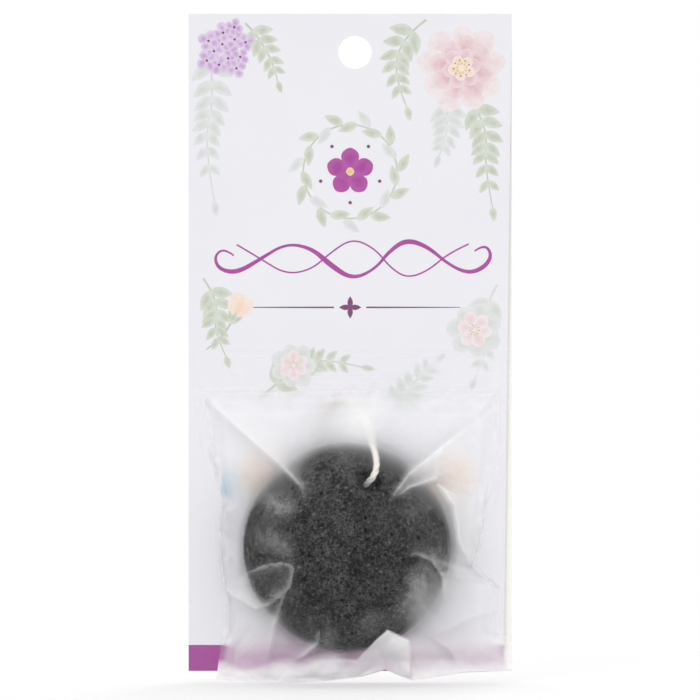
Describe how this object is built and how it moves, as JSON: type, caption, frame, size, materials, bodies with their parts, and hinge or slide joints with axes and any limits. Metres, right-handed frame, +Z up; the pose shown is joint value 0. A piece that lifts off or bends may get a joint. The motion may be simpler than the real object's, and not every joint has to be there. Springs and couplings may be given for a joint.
{
  "type": "konjac sponge",
  "caption": "Round charcoal konjac face sponge with a cotton hanging loop, packed in a frosted film bag on a folded hang card.",
  "frame": {"origin": "centre of the hang hole, half way through the thickness of the folded card", "axes": "+Z up along the card towards its fold, +Y to the back through the hang hole, +X to the right as seen from the printed front"},
  "size_m": [0.1, 0.0296, 0.2057],
  "materials": {
    "card": "satin",
    "frosted_film": "matte",
    "tape": "satin",
    "konjac": "matte",
    "cotton": "matte"
  },
  "bodies": {
    "pack": {"card_front_leaf": "card", "card_crease": "card", "bag_back_film": "frosted_film", "bag_front_film": "frosted_film", "bag_tape_upper": "tape", "bag_tape_lower": "tape"},
    "back_leaf": {"card_back_leaf": "card"},
    "sponge": {"sponge": "konjac", "sponge_cord": "cotton", "cord_bore_run": "cotton", "cord_knot": "cotton"}
  },
  "joints": [
    {"name": "card_fold", "type": "hinge", "parent": "pack", "child": "back_leaf", "pos_m": [0, 0, 0.0118], "axis": [1, 0, 0], "range_deg": [0, 180], "deforming": ["card_crease"]},
    {"name": "sponge_slide", "type": "slide", "parent": "pack", "child": "sponge", "axis": [0, 0, 1], "range_m": [0, 0.098], "deforming": ["bag_front_film"]}
  ]
}
